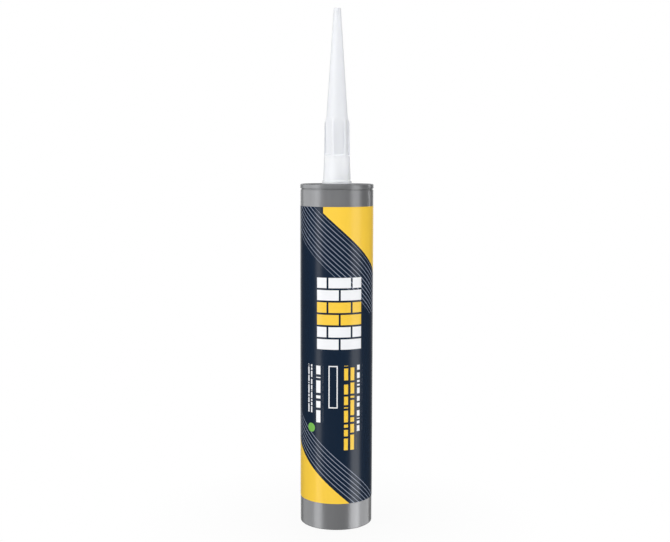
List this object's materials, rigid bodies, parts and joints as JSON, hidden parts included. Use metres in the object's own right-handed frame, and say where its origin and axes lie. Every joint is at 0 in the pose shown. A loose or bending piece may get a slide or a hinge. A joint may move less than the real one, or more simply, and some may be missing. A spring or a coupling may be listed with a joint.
{
  "type": "caulk tube",
  "caption": "Sealant cartridge: round barrel with wrap-round label, ribbed head, threaded neck, tapered screw-on nozzle and sliding piston.",
  "frame": {"origin": "centre of the barrel's open rear end, which the cartridge stands on", "axes": "+Z along the barrel towards the nozzle tip, -Y towards the viewer of the picture, +X to the viewer's right"},
  "size_m": [0.0483, 0.0482, 0.3402],
  "materials": {
    "barrel_plastic": "satin",
    "label_film": "satin",
    "sealant_paste": "satin",
    "piston_plastic": "satin",
    "nozzle_plastic": "satin"
  },
  "bodies": {
    "barrel": {"barrel": "barrel_plastic", "label": "label_film", "sealant": "sealant_paste"},
    "piston": {"piston": "piston_plastic"},
    "nozzle": {"nozzle": "nozzle_plastic"}
  },
  "joints": [
    {"name": "piston_slide", "type": "slide", "parent": "barrel", "child": "piston", "axis": [0, 0, 1], "range_m": [0, 0.1788], "deforming": ["sealant"]},
    {"name": "nozzle_lift", "type": "slide", "parent": "barrel", "child": "nozzle", "axis": [0, 0, 1], "range_m": [0, 0.02]}
  ]
}
